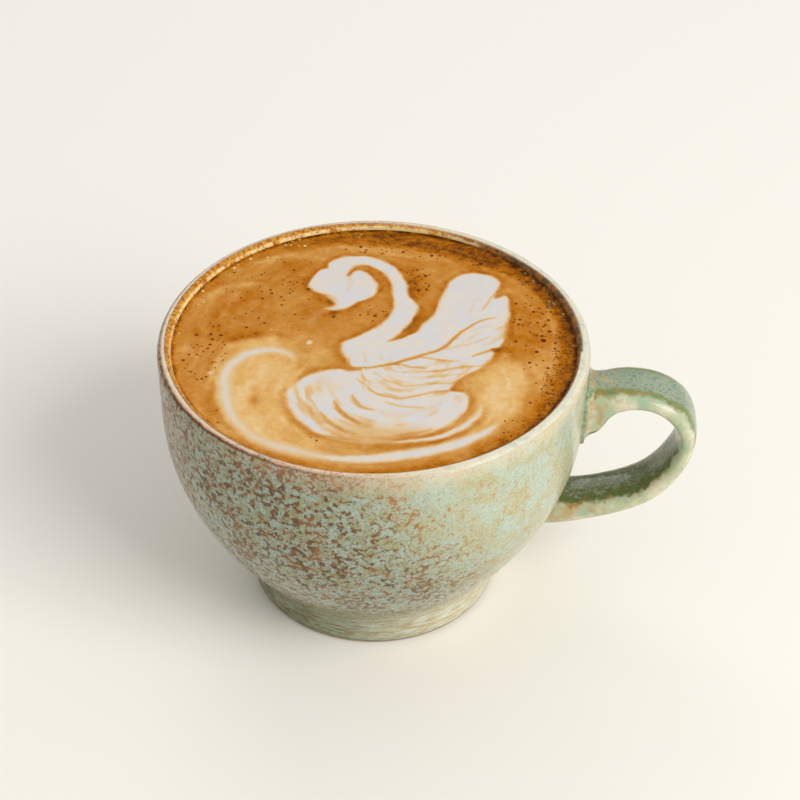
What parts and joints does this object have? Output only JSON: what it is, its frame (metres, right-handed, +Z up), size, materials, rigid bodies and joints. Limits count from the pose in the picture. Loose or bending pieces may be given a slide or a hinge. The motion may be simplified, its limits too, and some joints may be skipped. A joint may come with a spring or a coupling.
{
  "type": "latte in a cup",
  "caption": "Latte with a swan of milk foam on top, in a round footed stoneware cup with a speckled green glaze and a strap handle.",
  "frame": {"origin": "middle of the whole part's box, on the plane that the foot stands on; the cup's own axis is 13.9 mm towards -X", "axes": "+Z up; +X from the cup towards its handle; the handle lies in the XZ plane"},
  "size_m": [0.1338, 0.106, 0.074],
  "materials": {
    "glaze": "glossy sage green glaze with rust-brown speckles",
    "coffee": "wet coffee crema",
    "foam": "fine steamed milk foam"
  },
  "bodies": {
    "root": {"cup": "glaze", "coffee": "coffee", "foam_neck_and_wing": "foam", "foam_body": "foam", "foam_crescent": "foam"}
  },
  "joints": []
}
